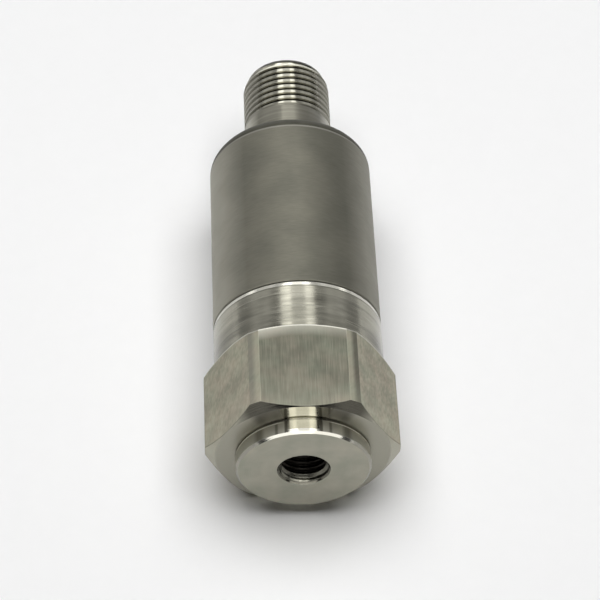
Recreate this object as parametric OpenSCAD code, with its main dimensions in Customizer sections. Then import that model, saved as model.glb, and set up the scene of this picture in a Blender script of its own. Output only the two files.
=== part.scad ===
// Industrial vibration sensor with a four-pin circular plug.
// A hexagon base with a raised, tapped mounting face carries a welded sleeve, and the plug stands
// out of the sleeve's far end. The sensor lies on one flat of its hexagon: its axis runs along +Y,
// the centre of the mounting face is the origin, and +Z is up. Sizes are in millimetres.
// Each piece is drawn standing on its mounting face, along +Z, and is then laid down.

/* [Base] */
// How far the hexagon's flats stand proud of the ring
flat_rise = 0.05; // [0:0.05:0.5]
// How far its turned corners stand out past the flats
corner_rise = 1.3; // [0.6:0.05:1.6]
// Length of the hexagon, from the step behind the mounting face to the ring
hex_l = 12.3; // [10:0.1:18]
// Slope of the chamfers at both ends of the hexagon, from the end face
chamfer_slope = 30; // [20:1:45]
// How far the turned end face stays inside the flats
face_inset = 0.1; // [0.05:0.05:0.5]
// Diameter of the raised mounting face
boss_d = 17; // [14:0.1:19]
// Height of the raised mounting face
boss_h = 2.2; // [1:0.1:4]
// Chamfer on the edge of the mounting face
boss_chamfer = 0.3; // [0.1:0.05:0.6]
// Width of the relief cut at the root of the mounting face
relief_w = 0.25; // [0.1:0.05:0.5]
// Depth of that relief cut
relief_depth = 0.2; // [0.1:0.05:0.5]
// Length of the polished ring between the hexagon and the seam
ring_l = 7; // [6:0.1:12]
// Chamfer on the base's edge at the seam
seam_chamfer = 0.3; // [0.1:0.05:0.5]
// Length of the spigot inside the sleeve
spigot_l = 2.5; // [1.5:0.1:4]
// Wall of the spigot round the pocket for the sensor board
spigot_wall = 1.3; // [1:0.1:1.6]
// Metal left between the end of the tapped hole and the pocket
floor_wall = 2.9; // [2.2:0.1:4]

/* [Mounting hole] */
// Major diameter of the mounting thread
thread_d = 6.35; // [5:0.05:7]
// Height of the thread, which the tapping drill leaves
thread_h = 0.425; // [0.3:0.005:0.6]
// Depth of the thread
thread_depth = 8.5; // [6:0.1:9.5]
// Length of the drilled hole past the end of the thread
drill_runout = 2; // [1:0.1:2.5]
// Point angle of the tapping drill
drill_point = 118; // [90:1:140]
// Depth of the countersink at the mouth
countersink = 0.2; // [0.1:0.05:0.5]

/* [Sleeve] */
// Outside diameter of the sleeve and of the ring
body_d = 21.9; // [21.4:0.05:22]
// Length of the sleeve from the seam to the shoulder's face
sleeve_l = 28; // [26:0.5:40]
// Wall of the sleeve
sleeve_wall = 1.4; // [1:0.1:1.6]
// Thickness of the sleeve's roof
roof_t = 2.5; // [2:0.1:4]
// Radius of the rounded shoulder
shoulder_r = 2; // [1:0.1:2.4]
// Broken edge of the sleeve at the seam
sleeve_edge = 0.12; // [0.05:0.01:0.3]

/* [Plug] */
// Outside diameter of the plug's thread and collar
plug_d = 12; // [11:0.1:13]
// Length of the plug outside the sleeve
plug_l = 14.8; // [13.5:0.1:20]
// Length of the plain collar between the sleeve and the thread
collar_l = 6.4; // [5:0.1:7]
// Spacing of the thread's turns, which are drawn as rings
turn_pitch = 1; // [0.8:0.05:1.5]
// Depth of the groove between two turns
turn_depth = 0.55; // [0.4:0.05:0.7]
// Width of a turn's crest
crest_w = 0.4; // [0.2:0.05:0.5]
// Width of the groove's floor
turn_floor_w = 0.12; // [0.05:0.01:0.2]
// Length of the chamfer at the plug's end
plug_chamfer_l = 1.5; // [0.5:0.1:2]
// Depth of that chamfer
plug_chamfer_r = 0.6; // [0.2:0.05:0.9]
// Wall of the plug round its socket
plug_wall = 1.6; // [1.3:0.05:1.9]
// Depth of the socket, down to the contact carrier
socket_depth = 8.6; // [7:0.1:10]
// Broken edge at the socket's mouth
socket_edge = 0.3; // [0.1:0.05:0.5]
// Depth of the undercut round the foot of the plug, outside the sleeve
undercut_depth = 0.3; // [0.2:0.05:0.5]
// Length of that undercut
undercut_l = 0.5; // [0.3:0.1:1]
// Thickness of the plug's flange under the sleeve's roof
flange_t = 2; // [1.6:0.1:3]
// Cord thickness of the sealing ring round the plug
seal_t = 0.9; // [0.6:0.05:1]
// Room on each side of the sealing ring in its groove
seal_room = 0.15; // [0.05:0.05:0.3]

/* [Contacts] */
// Diameter of the contact pins
pin_d = 1; // [0.8:0.05:1.2]
// Diameter of the circle that the pins stand on
pin_circle_d = 5; // [4.4:0.1:5.4]
// How far the pins stay below the plug's rim
pin_recess = 1.3; // [0.8:0.1:3]
// Length of the tapered point of a pin
pin_point = 0.5; // [0.2:0.1:1]
// How far the collar under the carrier stands out from each pin
pin_collar_rim = 0.3; // [0.2:0.05:0.5]
// Height of that collar
pin_collar_l = 1.4; // [0.8:0.1:2]
// How far the tails reach through the contact board
pin_tail = 0.8; // [0.4:0.1:1.5]
// How far the carrier's collar stands out, against a step in the plug
carrier_rim = 0.55; // [0.3:0.05:0.8]
// Height of the carrier's collar
carrier_collar_l = 1.4; // [1:0.1:1.8]
// Width of the coding key
key_w = 0.9; // [0.6:0.1:1.4]
// How far the key stands in from the socket's wall
key_depth = 0.75; // [0.5:0.05:0.9]
// Length of the key above the carrier's face
key_l = 6.2; // [4:0.1:6.8]

/* [Boards] */
// Thickness of the three boards
board_t = 1; // [0.6:0.1:1.6]
// Gap between the round boards and the walls round them
board_room = 0.25; // [0.15:0.05:0.6]
// Width of the tabs that join the upright board to the round boards
tab_w = 2; // [1.4:0.1:2.4]
// Distance of the tabs' centres from the upright board's edges
tab_inset = 2; // [1.4:0.1:2.4]
// Free height between the sensing element and the upright board
element_room = 1.5; // [0.8:0.1:3]
// Size of the sensing element: width, width, height
element_size = [5, 5, 1.6]; // [0.8:0.1:6]
// Distance of the screws from the sensor board's rim
screw_inset = 1.75; // [1.5:0.05:2]
// Thread diameter of the board screws
screw_d = 1.6; // [1.2:0.1:1.8]
// Diameter of the board screws' heads
screw_head_d = 2.8; // [2.4:0.1:3]
// Height of the heads
screw_head_h = 1; // [0.6:0.1:1.4]
// Width of the driver slot in the heads
screw_slot_w = 0.5; // [0.3:0.05:0.8]
// Depth of the driver slot
screw_slot_depth = 0.5; // [0.3:0.05:0.6]
// Length of the screws' thread in the base
screw_depth = 2; // [1.4:0.1:2.4]

/* [Cradle and liner] */
// Height of the cradle's ring, which stands on the spigot
cradle_ring_h = 1.5; // [1:0.1:3]
// Wall of the cradle's ring
cradle_ring_wall = 1.7; // [1.2:0.1:1.8]
// Thickness of each rail across the board
rail_t = 3.2; // [2.6:0.1:4]
// How far each rail grips the board's edge
rail_grip = 1; // [0.6:0.1:1.2]
// Material behind the board's edge in each rail
rail_back = 1; // [0.8:0.1:1.2]
// How far the rails stay below the contact board
rail_top_room = 1; // [0.5:0.1:3]
// Wall of the insulating liner
liner_wall = 0.35; // [0.2:0.05:0.5]

/* [Parts on the upright board] */
// Processor: width, height along the board, thickness
processor_size = [6, 6, 0.9]; // [0.6:0.1:7]
// Clock crystal in its metal can
crystal_size = [3.2, 2.5, 0.8]; // [0.6:0.1:4]
// Transistor that drives the output loop
driver_size = [6.5, 3.5, 1.6]; // [1:0.1:7]
// Storage capacitor
storage_size = [3.2, 6, 2.5]; // [1:0.1:7]
// Each of the two surge diodes
diode_size = [4.3, 2.6, 2.1]; // [1:0.1:5]
// Each of the small ceramic capacitors
chip_cap_size = [0.8, 1.6, 0.8]; // [0.4:0.1:2]
// How many ceramic capacitors stand in the row
chip_cap_count = 5; // [2:1:6]
// Diameter of the coil's flanges
coil_d = 5; // [4:0.1:6]
// Height of the coil
coil_h = 2.6; // [2:0.1:4]
// Thickness of each flange of the coil
coil_flange_t = 0.6; // [0.3:0.1:0.9]
// How far the winding stays inside the flanges
coil_inset = 0.4; // [0.2:0.1:1]
// Distance of the first row from the upright board's lower edge
edge_room = 1.5; // [1:0.1:2.5]
// Gap between the two surge diodes
diode_gap = 0.6; // [0.4:0.1:1]
// Gap between neighbouring parts
part_gap = 1; // [0.6:0.1:1.4]
// How far the leads stand out from a package
lead_reach = 0.5; // [0.3:0.1:0.7]
// Width of a lead
lead_w = 0.4; // [0.3:0.05:0.6]
// Thickness of a lead
lead_t = 0.2; // [0.15:0.05:0.3]
// Spacing of the processor's leads
lead_pitch = 0.8; // [0.65:0.05:1.27]
// Width and thickness of the rim round a metal can
can_rim = 0.25; // [0.15:0.05:0.4]

/* [Fits] */
// Gap all round between pieces that are pushed together
fit_gap = 0.04; // [0.02:0.01:0.08]
// Gap between the boards and what they slot into
slot_gap = 0.1; // [0.05:0.05:0.2]

/* [Hidden] */
$fn = 96;
past = 1;

// Radii of the housing
body_r = body_d / 2;
flat_r = body_r + flat_rise;
corner_r = flat_r + corner_rise;
boss_r = boss_d / 2;
face_r = flat_r - face_inset;
sleeve_bore_r = body_r - sleeve_wall;
spigot_r = sleeve_bore_r - fit_gap;
pocket_r = spigot_r - spigot_wall;

// Heights along the axis, from the mounting face
ring_z = boss_h + hex_l;
seam_z = ring_z + ring_l;
spigot_z = seam_z + spigot_l;
sleeve_z = seam_z + sleeve_l;
roof_z = sleeve_z - roof_t;
plug_z = sleeve_z + plug_l;
lower_chamfer = (corner_r - face_r) * tan(chamfer_slope);
upper_chamfer = (corner_r - body_r) * tan(chamfer_slope);

// Tapped mounting hole
thread_r = thread_d / 2;
tap_drill_r = thread_r - thread_h;
drill_z = thread_depth + drill_runout;
drill_tip = tap_drill_r / tan(drill_point / 2);
floor_z = drill_z + drill_tip + floor_wall;

// Plug, its sealing ring and its insulator
plug_r = plug_d / 2;
socket_r = plug_r - plug_wall;
flange_r = sleeve_bore_r - fit_gap;
plug_hole_r = plug_r + fit_gap;
flange_z = roof_z - flange_t;
face_z = plug_z - socket_depth;
turn_z = sleeve_z + collar_l;
turn_flank = (turn_pitch - crest_w - turn_floor_w) / 2;
turn_count = floor((plug_z - plug_chamfer_l - turn_z + crest_w) / turn_pitch);
groove_l = seal_t + 2 * seal_room;
groove_z = (roof_z + sleeve_z - groove_l) / 2;
groove_r = plug_hole_r - seal_t - 2 * fit_gap;
carrier_r = socket_r - fit_gap;
carrier_collar_r = carrier_r + carrier_rim;
carrier_step_z = flange_z + carrier_collar_l;

// Pins and boards
pin_r = pin_d / 2;
pin_collar_r = pin_r + pin_collar_rim;
contact_board_z = flange_z - pin_collar_l - board_t;
sensor_board_r = pocket_r - board_room;
liner_r = sleeve_bore_r - fit_gap;
contact_board_r = liner_r - liner_wall - board_room;
sensor_top = floor_z + board_t;
main_board_z = sensor_top + element_size[2] + element_room;
main_board_top = contact_board_z - slot_gap;
screw_r = screw_d / 2;
screw_angles = [90, 210, 330];

// Cradle, and the upright board that slides into its rails
cradle_z = spigot_z + cradle_ring_h;
rail_reach = liner_r - liner_wall - slot_gap;
rail_outer_x = sqrt(rail_reach * rail_reach - rail_t * rail_t / 4);
main_board_w = 2 * (rail_outer_x - rail_back - slot_gap);
tab_x = main_board_w / 2 - tab_inset;
rail_x = main_board_w / 2 - rail_grip;
rail_w = rail_outer_x - rail_x;
rail_top = contact_board_z - rail_top_room;

// Rows on the front of the upright board, each past the one below it
first_z = main_board_z + edge_room;
crystal_z = first_z + crystal_size[1] / 2;
processor_z = crystal_z + crystal_size[1] / 2 + part_gap + lead_reach + processor_size[1] / 2;
chip_cap_z = processor_z + processor_size[1] / 2 + lead_reach + part_gap + chip_cap_size[1] / 2;
driver_z = chip_cap_z + chip_cap_size[1] / 2 + part_gap + lead_reach + driver_size[1] / 2;

// Rows on its back
storage_z = first_z + lead_reach + storage_size[1] / 2;
coil_z = storage_z + storage_size[1] / 2 + lead_reach + part_gap + coil_d / 2;
diode_z = coil_z + coil_d / 2 + part_gap + diode_size[1] / 2;
diode_x = diode_size[0] / 2 + lead_reach + diode_gap / 2;
lead_count = floor((processor_size[1] - 2 * lead_w) / lead_pitch);

// Drawing colours
steel = "#a9a99f";
gold = "#d9b45a";
board_green = "#2f6b46";
dark_plastic = "#222224";
can_metal = "#c9c9c4";

// Lays a standing piece down along +Y
module laid() rotate([-90, 0, 0]) children();

// Puts a part on the upright board at x and z, with its own +Z out of the board's face.
// side is 1 for the front and -1 for the back.
module on_main_board(x, z, side)
  translate([x, side * board_t / 2, z]) rotate([-side * 90, 0, 0]) children();

// Package on its board: size is width, length along the board and thickness
module package(size) translate([-size[0] / 2, -size[1] / 2, 0]) cube(size);

// Metal can with a low rim round its foot
module can(size) {
  package([size[0], size[1], can_rim]);
  package([size[0] - 2 * can_rim, size[1] - 2 * can_rim, size[2]]);
}

// A lead that runs out along +X from under a package's edge at x
module lead(x, w) translate([x - lead_reach, -w / 2, 0]) cube([2 * lead_reach, w, lead_t]);

// Turned outline of the base: mounting face, relief, hexagon with both chamfers, ring and spigot
module base_section() polygon([
  [0, 0], [boss_r - boss_chamfer, 0], [boss_r, boss_chamfer],
  [boss_r, boss_h - relief_w], [boss_r - relief_depth, boss_h - relief_w],
  [boss_r - relief_depth, boss_h], [face_r, boss_h],
  [corner_r, boss_h + lower_chamfer], [corner_r, ring_z - upper_chamfer], [body_r, ring_z],
  [body_r, seam_z - seam_chamfer], [body_r - seam_chamfer, seam_z],
  [spigot_r, seam_z], [spigot_r, spigot_z], [0, spigot_z]
]);

// Drilled and tapped hole with its countersink and the drill's point
module hole_section() polygon([
  [0, -past], [thread_r + countersink + past, -past], [thread_r, countersink],
  [thread_r, thread_depth], [tap_drill_r, thread_depth],
  [tap_drill_r, drill_z], [0, drill_z + drill_tip]
]);

module at_screws()
  for (a = screw_angles) rotate(a) translate([sensor_board_r - screw_inset, 0, 0]) children();

module base() color(steel) laid() difference() {
  rotate_extrude() base_section();
  difference() {
    translate([0, 0, -past]) cylinder(r = corner_r + past, h = ring_z + past);
    translate([0, 0, -2 * past])
      cylinder(r = flat_r / cos(30), h = ring_z + 4 * past, $fn = 6);
  }
  rotate_extrude() hole_section();
  translate([0, 0, floor_z]) cylinder(r = pocket_r, h = spigot_z);
  at_screws() translate([0, 0, floor_z - screw_depth - slot_gap])
    cylinder(r = screw_r, h = screw_depth + past);
}

// Half section of the sleeve, with the round shoulder as a true arc
module sleeve_section() difference() {
  union() {
    polygon([
      [0, seam_z], [body_r - sleeve_edge, seam_z], [body_r, seam_z + sleeve_edge],
      [body_r, sleeve_z - shoulder_r], [0, sleeve_z - shoulder_r]
    ]);
    translate([0, sleeve_z - shoulder_r]) square([body_r - shoulder_r, shoulder_r]);
    translate([body_r - shoulder_r, sleeve_z - shoulder_r]) circle(shoulder_r);
  }
  translate([0, seam_z - past]) square([sleeve_bore_r, roof_z - seam_z + past]);
  translate([0, seam_z]) square([plug_hole_r, sleeve_l + past]);
}

module sleeve() color("#8d8d84") laid() rotate_extrude() sleeve_section();

// Outline of the thread's turns: each is a groove with two flanks, and the crest past it
turns = [
  for (i = [0 : turn_count - 1], step = [
      [0, 0], [turn_depth, turn_flank], [turn_depth, turn_flank + turn_floor_w],
      [0, turn_pitch - crest_w]
    ]) [plug_r - step[0], turn_z + i * turn_pitch + step[1]]
];

// Outside of the plug with its flange, seal groove and thread, and the stepped bore for the carrier
module plug_section() polygon(concat([
  [carrier_collar_r + fit_gap, flange_z], [flange_r, flange_z], [flange_r, roof_z],
  [plug_r, roof_z], [plug_r, groove_z], [groove_r, groove_z],
  [groove_r, groove_z + groove_l], [plug_r, groove_z + groove_l],
  [plug_r, sleeve_z], [plug_r - undercut_depth, sleeve_z],
  [plug_r - undercut_depth, sleeve_z + undercut_l], [plug_r, sleeve_z + undercut_l]
], turns, [
  [plug_r, plug_z - plug_chamfer_l], [plug_r - plug_chamfer_r, plug_z],
  [socket_r + socket_edge, plug_z], [socket_r, plug_z - socket_edge],
  [socket_r, carrier_step_z], [carrier_collar_r + fit_gap, carrier_step_z]
]));

module plug_shell() color("#b5b5ae") laid() rotate_extrude() plug_section();

module plug_seal() color("#1c1c1c") laid() translate([0, 0, groove_z + groove_l / 2])
  rotate_extrude() translate([plug_hole_r - fit_gap - seal_t / 2, 0]) circle(d = seal_t);

module at_pins()
  for (i = [1 : 4]) at_pin(i) children();

module at_pin(i) rotate(i * 90 - 45) translate([pin_circle_d / 2, 0, 0]) children();

module contact_carrier() color(dark_plastic) laid() difference() {
  union() {
    translate([0, 0, flange_z]) cylinder(r = carrier_collar_r, h = carrier_collar_l);
    translate([0, 0, flange_z]) cylinder(r = carrier_r, h = face_z - flange_z);
    intersection() {
      translate([socket_r - key_depth, -key_w / 2, flange_z])
        cube([key_depth, key_w, face_z + key_l - flange_z]);
      translate([0, 0, flange_z]) cylinder(r = carrier_r, h = plug_z);
    }
  }
  at_pins() translate([0, 0, flange_z - past]) cylinder(r = pin_r + fit_gap, h = plug_z);
}

// Turned contact pin: tail, collar under the carrier, shaft and tapered point
module contact_pin(i) color(gold) laid() at_pin(i) rotate_extrude() polygon([
  [0, contact_board_z - pin_tail], [pin_r, contact_board_z - pin_tail],
  [pin_r, contact_board_z + board_t], [pin_collar_r, contact_board_z + board_t],
  [pin_collar_r, flange_z], [pin_r, flange_z],
  [pin_r, plug_z - pin_recess - pin_point], [pin_r / 2, plug_z - pin_recess],
  [0, plug_z - pin_recess]
]);

// The upright board's tabs, or with room the slots for them
module tabs(z, h, room)
  for (side = [-1, 1])
    translate([side * tab_x - tab_w / 2 - room, -board_t / 2 - room, z])
      cube([tab_w + 2 * room, board_t + 2 * room, h]);

module contact_board() color(board_green) laid() difference() {
  translate([0, 0, contact_board_z]) cylinder(r = contact_board_r, h = board_t);
  at_pins() translate([0, 0, contact_board_z - past])
    cylinder(r = pin_r + slot_gap, h = board_t + 2 * past);
  tabs(contact_board_z - past, board_t + 2 * past, slot_gap);
}

module main_board() color(board_green) laid() union() {
  translate([-main_board_w / 2, -board_t / 2, main_board_z])
    cube([main_board_w, board_t, main_board_top - main_board_z]);
  tabs(floor_z + slot_gap, contact_board_z + board_t - floor_z - slot_gap, 0);
}

module sensor_board() color(board_green) laid() difference() {
  translate([0, 0, floor_z]) cylinder(r = sensor_board_r, h = board_t);
  at_screws() translate([0, 0, floor_z - past])
    cylinder(r = screw_r + slot_gap, h = board_t + 2 * past);
  tabs(floor_z - past, board_t + 2 * past, slot_gap);
}

module sensing_element() color(can_metal) laid() translate([0, 0, sensor_top]) can(element_size);

// Three cheese-head screws with a slot for the driver
module board_screws() color(can_metal) laid() at_screws() difference() {
  union() {
    translate([0, 0, floor_z - screw_depth])
      cylinder(r = screw_r - fit_gap, h = screw_depth + board_t);
    translate([0, 0, sensor_top]) cylinder(d = screw_head_d, h = screw_head_h);
  }
  translate([-screw_head_d, -screw_slot_w / 2, sensor_top + screw_head_h - screw_slot_depth])
    cube([2 * screw_head_d, screw_slot_w, screw_head_h]);
}

module board_cradle() color("#d8d4c4") laid() difference() {
  union() {
    translate([0, 0, spigot_z]) cylinder(r = liner_r, h = cradle_ring_h);
    for (side = [-1, 1])
      translate([side > 0 ? rail_x : -rail_x - rail_w, -rail_t / 2, spigot_z])
        cube([rail_w, rail_t, rail_top - spigot_z]);
  }
  translate([0, 0, spigot_z - past])
    cylinder(r = liner_r - cradle_ring_wall, h = cradle_ring_h + past);
  translate([-main_board_w / 2 - slot_gap, -board_t / 2 - slot_gap, spigot_z - past])
    cube([main_board_w + 2 * slot_gap, board_t + 2 * slot_gap, rail_top - spigot_z + 2 * past]);
}

module liner() color("#c9a24a") laid() difference() {
  translate([0, 0, cradle_z]) cylinder(r = liner_r, h = flange_z - cradle_z - slot_gap);
  translate([0, 0, cradle_z - past]) cylinder(r = liner_r - liner_wall, h = sleeve_l);
}

// Square package with a row of leads along each of its four sides
module processor_chip() color(dark_plastic) laid() on_main_board(0, processor_z, 1) {
  package(processor_size);
  for (turn = [0 : 90 : 270], i = [0 : lead_count - 1])
    rotate(turn) translate([0, (i - (lead_count - 1) / 2) * lead_pitch, 0])
      lead(processor_size[0] / 2, lead_w);
}

module clock_crystal() color(can_metal) laid() on_main_board(0, crystal_z, 1) can(crystal_size);

// Power transistor with three leads on one side and a wide cooling tab on the other
module loop_driver() color(dark_plastic) laid() on_main_board(0, driver_z, 1) {
  package(driver_size);
  rotate(90) lead(driver_size[1] / 2, driver_size[0] / 2);
  for (i = [-1 : 1])
    translate([i * driver_size[0] / 3, 0, 0]) rotate(-90) lead(driver_size[1] / 2, 2 * lead_w);
}

// Wound coil with two flanges, standing on the back of the board
module power_coil() color("#7a4a2a") laid() on_main_board(0, coil_z, -1)
  rotate_extrude() polygon([
    [0, 0], [coil_d / 2, 0], [coil_d / 2, coil_flange_t],
    [coil_d / 2 - coil_inset, coil_flange_t],
    [coil_d / 2 - coil_inset, coil_h - coil_flange_t],
    [coil_d / 2, coil_h - coil_flange_t], [coil_d / 2, coil_h], [0, coil_h]
  ]);

module storage_capacitor() color("#c8852e") laid() on_main_board(0, storage_z, -1) {
  package(storage_size);
  for (turn = [90, 270]) rotate(turn) lead(storage_size[1] / 2, storage_size[0] / 2);
}

module surge_diodes() color(dark_plastic) laid()
  for (side = [-1, 1]) on_main_board(side * diode_x, diode_z, -1) {
    package(diode_size);
    for (turn = [0, 180]) rotate(turn) lead(diode_size[0] / 2, diode_size[1] / 2);
  }

module chip_capacitors() color("#a58f6d") laid()
  for (i = [0 : chip_cap_count - 1])
    on_main_board((i - (chip_cap_count - 1) / 2) * (chip_cap_size[0] + part_gap), chip_cap_z, 1)
      package(chip_cap_size);

base();
sleeve();
plug_shell();
plug_seal();
contact_carrier();
contact_pin(1);  // contact_pin_1
contact_pin(2);  // contact_pin_2
contact_pin(3);  // contact_pin_3
contact_pin(4);  // contact_pin_4
contact_board();
main_board();
sensor_board();
sensing_element();
board_screws();
board_cradle();
liner();
processor_chip();
clock_crystal();
loop_driver();
power_coil();
storage_capacitor();
surge_diodes();
chip_capacitors();
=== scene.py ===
# %% [markdown]
# # A vibration sensor on a table
# The sensor screws to a machine by the tapped hole in its raised round face, feels how the machine
# shakes, and sends a signal out through the plug at its far end. The solids of its 23 pieces come in
# as a fixed frame, in metres, with the sensor's axis along +Y and the mounting face at the origin.
# This lesson adds what a lathe, a mill and a thread die leave behind: finishes and true threads.

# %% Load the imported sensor
import math
import bmesh
import bpy
from mathutils import Matrix, Quaternion, Vector


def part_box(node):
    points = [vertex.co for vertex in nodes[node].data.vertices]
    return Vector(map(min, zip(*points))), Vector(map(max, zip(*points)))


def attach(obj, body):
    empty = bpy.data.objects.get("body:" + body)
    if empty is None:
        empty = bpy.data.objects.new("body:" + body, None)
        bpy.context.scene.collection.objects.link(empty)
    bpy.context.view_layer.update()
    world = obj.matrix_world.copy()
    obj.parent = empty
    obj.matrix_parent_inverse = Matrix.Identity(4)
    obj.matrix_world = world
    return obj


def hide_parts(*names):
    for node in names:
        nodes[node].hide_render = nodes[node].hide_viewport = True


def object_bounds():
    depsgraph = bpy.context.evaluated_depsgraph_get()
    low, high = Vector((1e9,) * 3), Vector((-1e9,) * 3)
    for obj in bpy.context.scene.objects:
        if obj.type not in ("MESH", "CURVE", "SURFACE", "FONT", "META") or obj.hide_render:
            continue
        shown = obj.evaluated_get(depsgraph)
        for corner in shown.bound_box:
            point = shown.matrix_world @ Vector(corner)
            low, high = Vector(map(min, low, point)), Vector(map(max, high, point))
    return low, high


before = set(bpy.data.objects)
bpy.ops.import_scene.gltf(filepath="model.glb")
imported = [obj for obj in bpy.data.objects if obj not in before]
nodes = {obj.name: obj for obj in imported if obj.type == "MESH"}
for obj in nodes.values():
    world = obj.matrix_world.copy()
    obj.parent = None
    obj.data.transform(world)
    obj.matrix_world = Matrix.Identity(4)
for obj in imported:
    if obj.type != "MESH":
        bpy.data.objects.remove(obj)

mm = 0.001
cad_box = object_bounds()
print(len(nodes), "pieces in a box of", [round((b - a) / mm, 2) for a, b in zip(*cad_box)], "mm")

# %% [markdown]
# ## The camera
# The photograph looks down on the lying sensor from the side of its mounting face. A camera could be
# turned by hand until it looks right, but a place, a point to look at and a small roll are easier to
# read and to change. The long lens keeps the far plug only a little smaller than the near face.

# %% Place the camera
camera_place = Vector((-13.84, -147.82, 234.24)) * mm
camera_target = Vector((0.56, 26.43, 0)) * mm
camera_roll = math.radians(3.08)
camera_lens = 133.07

camera_data = bpy.data.cameras.new("camera")
camera_data.lens = camera_lens
camera_data.sensor_width = 36
camera_data.clip_start = 1 * mm
camera = bpy.data.objects.new("camera", camera_data)
bpy.context.collection.objects.link(camera)
look = (camera_target - camera_place).to_track_quat("-Z", "Y")
camera.matrix_world = Matrix.LocRotScale(
    camera_place, look @ Quaternion((0, 0, 1), camera_roll), None)
bpy.context.scene.camera = camera
print("camera", round((camera_target - camera_place).length / mm), "mm from what it looks at")

# %% [markdown]
# ## Small helpers
# A finish is a tree of nodes. Each node could be added and linked in three or four lines, but one
# function does both, and the finishes then read from top to bottom. Colours are written as on a
# screen, and Blender wants them linear, so one function turns them.

# %% Helpers for colours and nodes


def linear(colour):
    """An sRGB hex colour as the linear values that Blender's nodes expect."""
    parts = [int(colour[i:i + 2], 16) / 255 for i in (1, 3, 5)]
    return [c / 12.92 if c < 0.04045 else ((c + 0.055) / 1.055) ** 2.4 for c in parts] + [1]


def put(tree, kind, inputs=(), **settings):
    """Adds a node. inputs maps a socket's name or number to a value, or to the output it links to."""
    node = tree.nodes.new(kind)
    for name, value in settings.items():
        setattr(node, name, value)
    for socket, value in dict(inputs).items():
        if isinstance(value, bpy.types.NodeSocket):
            tree.links.new(value, node.inputs[socket])
        else:
            node.inputs[socket].default_value = value
    return node


def finish(name, **constants):
    """A new material: its node tree, and its shader with the values that are the same all over."""
    material = bpy.data.materials.new(name)
    material.use_nodes = True
    shader = material.node_tree.nodes["Principled BSDF"]
    for socket, value in constants.items():
        shader.inputs[socket.replace("_", " ")].default_value = value
    return material, material.node_tree, shader


def new_piece(name, mesh, material):
    """Puts a finished bmesh into the scene at the origin."""
    data = bpy.data.meshes.new(name)
    mesh.to_mesh(data)
    mesh.free()
    data.materials.append(material)
    piece = bpy.data.objects.new(name, data)
    bpy.context.collection.objects.link(piece)
    return piece


# %% [markdown]
# ## The floor
# The sensor lies on one flat of its hexagon, so the floor is at the lowest point of the frame. A
# plain pale disc reaches past every edge of the picture, and its colour alone makes the white
# background. A lamp over the sensor can't light it evenly to the horizon, so away from the sensor it
# shows its own pale colour to the camera and to mirroring metal, and near it the light and the shadow.

# %% Lay the floor
floor_radius = 30.0
lit_to, plain_from = 60 * mm, 250 * mm
fibre_w = 2 * mm

# Matt paper scatters the light, so it shows the shadow and no mirror image. Its fibres hardly show.
floor_paper, tree, shader = finish("matt_white_paper", Roughness=0.9, Specular_IOR_Level=0.1)
place = put(tree, "ShaderNodeTexCoord").outputs["Object"]
fibres = put(tree, "ShaderNodeTexNoise", {"Vector": place, "Scale": 1 / fibre_w, "Detail": 2.0})
tint = put(tree, "ShaderNodeMix", {"Factor": fibres.outputs["Fac"], 6: linear("#f7f7f7"),
                                   7: linear("#f5f5f5")}, data_type="RGBA")
distance = put(tree, "ShaderNodeVectorMath", {0: place}, operation="LENGTH")
plain = put(tree, "ShaderNodeMapRange", {"Value": distance.outputs["Value"], "From Min": lit_to,
                                         "From Max": plain_from}, interpolation_type="SMOOTHSTEP")
rays = put(tree, "ShaderNodeLightPath").outputs
seen = put(tree, "ShaderNodeMath", {0: rays["Is Camera Ray"], 1: rays["Is Glossy Ray"]})
seen = put(tree, "ShaderNodeMath", {0: seen.outputs[0], 1: rays["Is Transmission Ray"]}, use_clamp=True)
plain = put(tree, "ShaderNodeMath", {0: plain.outputs["Result"], 1: seen.outputs[0]},
            operation="MULTIPLY").outputs[0]
paper = put(tree, "ShaderNodeMix", {"Factor": plain, 6: tint.outputs[2], 7: (0, 0, 0, 1)},
            data_type="RGBA")
tree.links.new(paper.outputs[2], shader.inputs["Base Color"])
tree.links.new(plain, shader.inputs["Emission Strength"])
shader.inputs["Emission Color"].default_value = linear("#f6f6f6")

disc = bmesh.new()
bmesh.ops.create_circle(disc, cap_ends=True, segments=96, radius=floor_radius)
bmesh.ops.translate(disc, verts=disc.verts, vec=(0, 0, cad_box[0][2]))
floor = new_piece("floor", disc, floor_paper)
print("floor at", round(cad_box[0][2] / mm, 2), "mm")

# %% [markdown]
# ## The light
# Polished metal shows the room more than itself. The bright double stripe down the ring is two long
# soft boxes that hang over the table beside each other, along the sensor's axis. Brighter strips
# nearer the viewer show in the wall of the mounting face, a window behind the viewer lights that
# face's edge, and a low one behind the sensor lights the edges that slope away. A studio adds
# cards that only the metal shows, and here the paper and the metal are lit apart too: one lamp over
# the table lights the paper and makes its shadow, and the metal sees all the others.

# %% Hang the lamps
# A strip's edges are two angles from the zenith and its glow, and a reach is in metres along the axis.
box_height = 0.60
box_edges = (-24, -10, 1.72), (10, 21.5, 1.58)
box_reach = (-0.3, 1.0)
front_edges = (-24, -12, 3.4), (-12, 10, 2.2), (10, 21.5, 3.4)
front_reach = (-0.85, -0.3)
window_place = Vector((0, -1.25, 0.72))
window_w, window_h, window_glow = 3.2, 0.7, 2.1
back_place = Vector((0, 2.0, 0.22))
back_w, back_h, back_glow = 3.2, 0.5, 1.5
paper_place = Vector((0, 0.07, 0.5))
paper_w, paper_l, paper_glow = 0.58, 0.45, 4.2
down = Vector((0, 0, -1))


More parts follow.
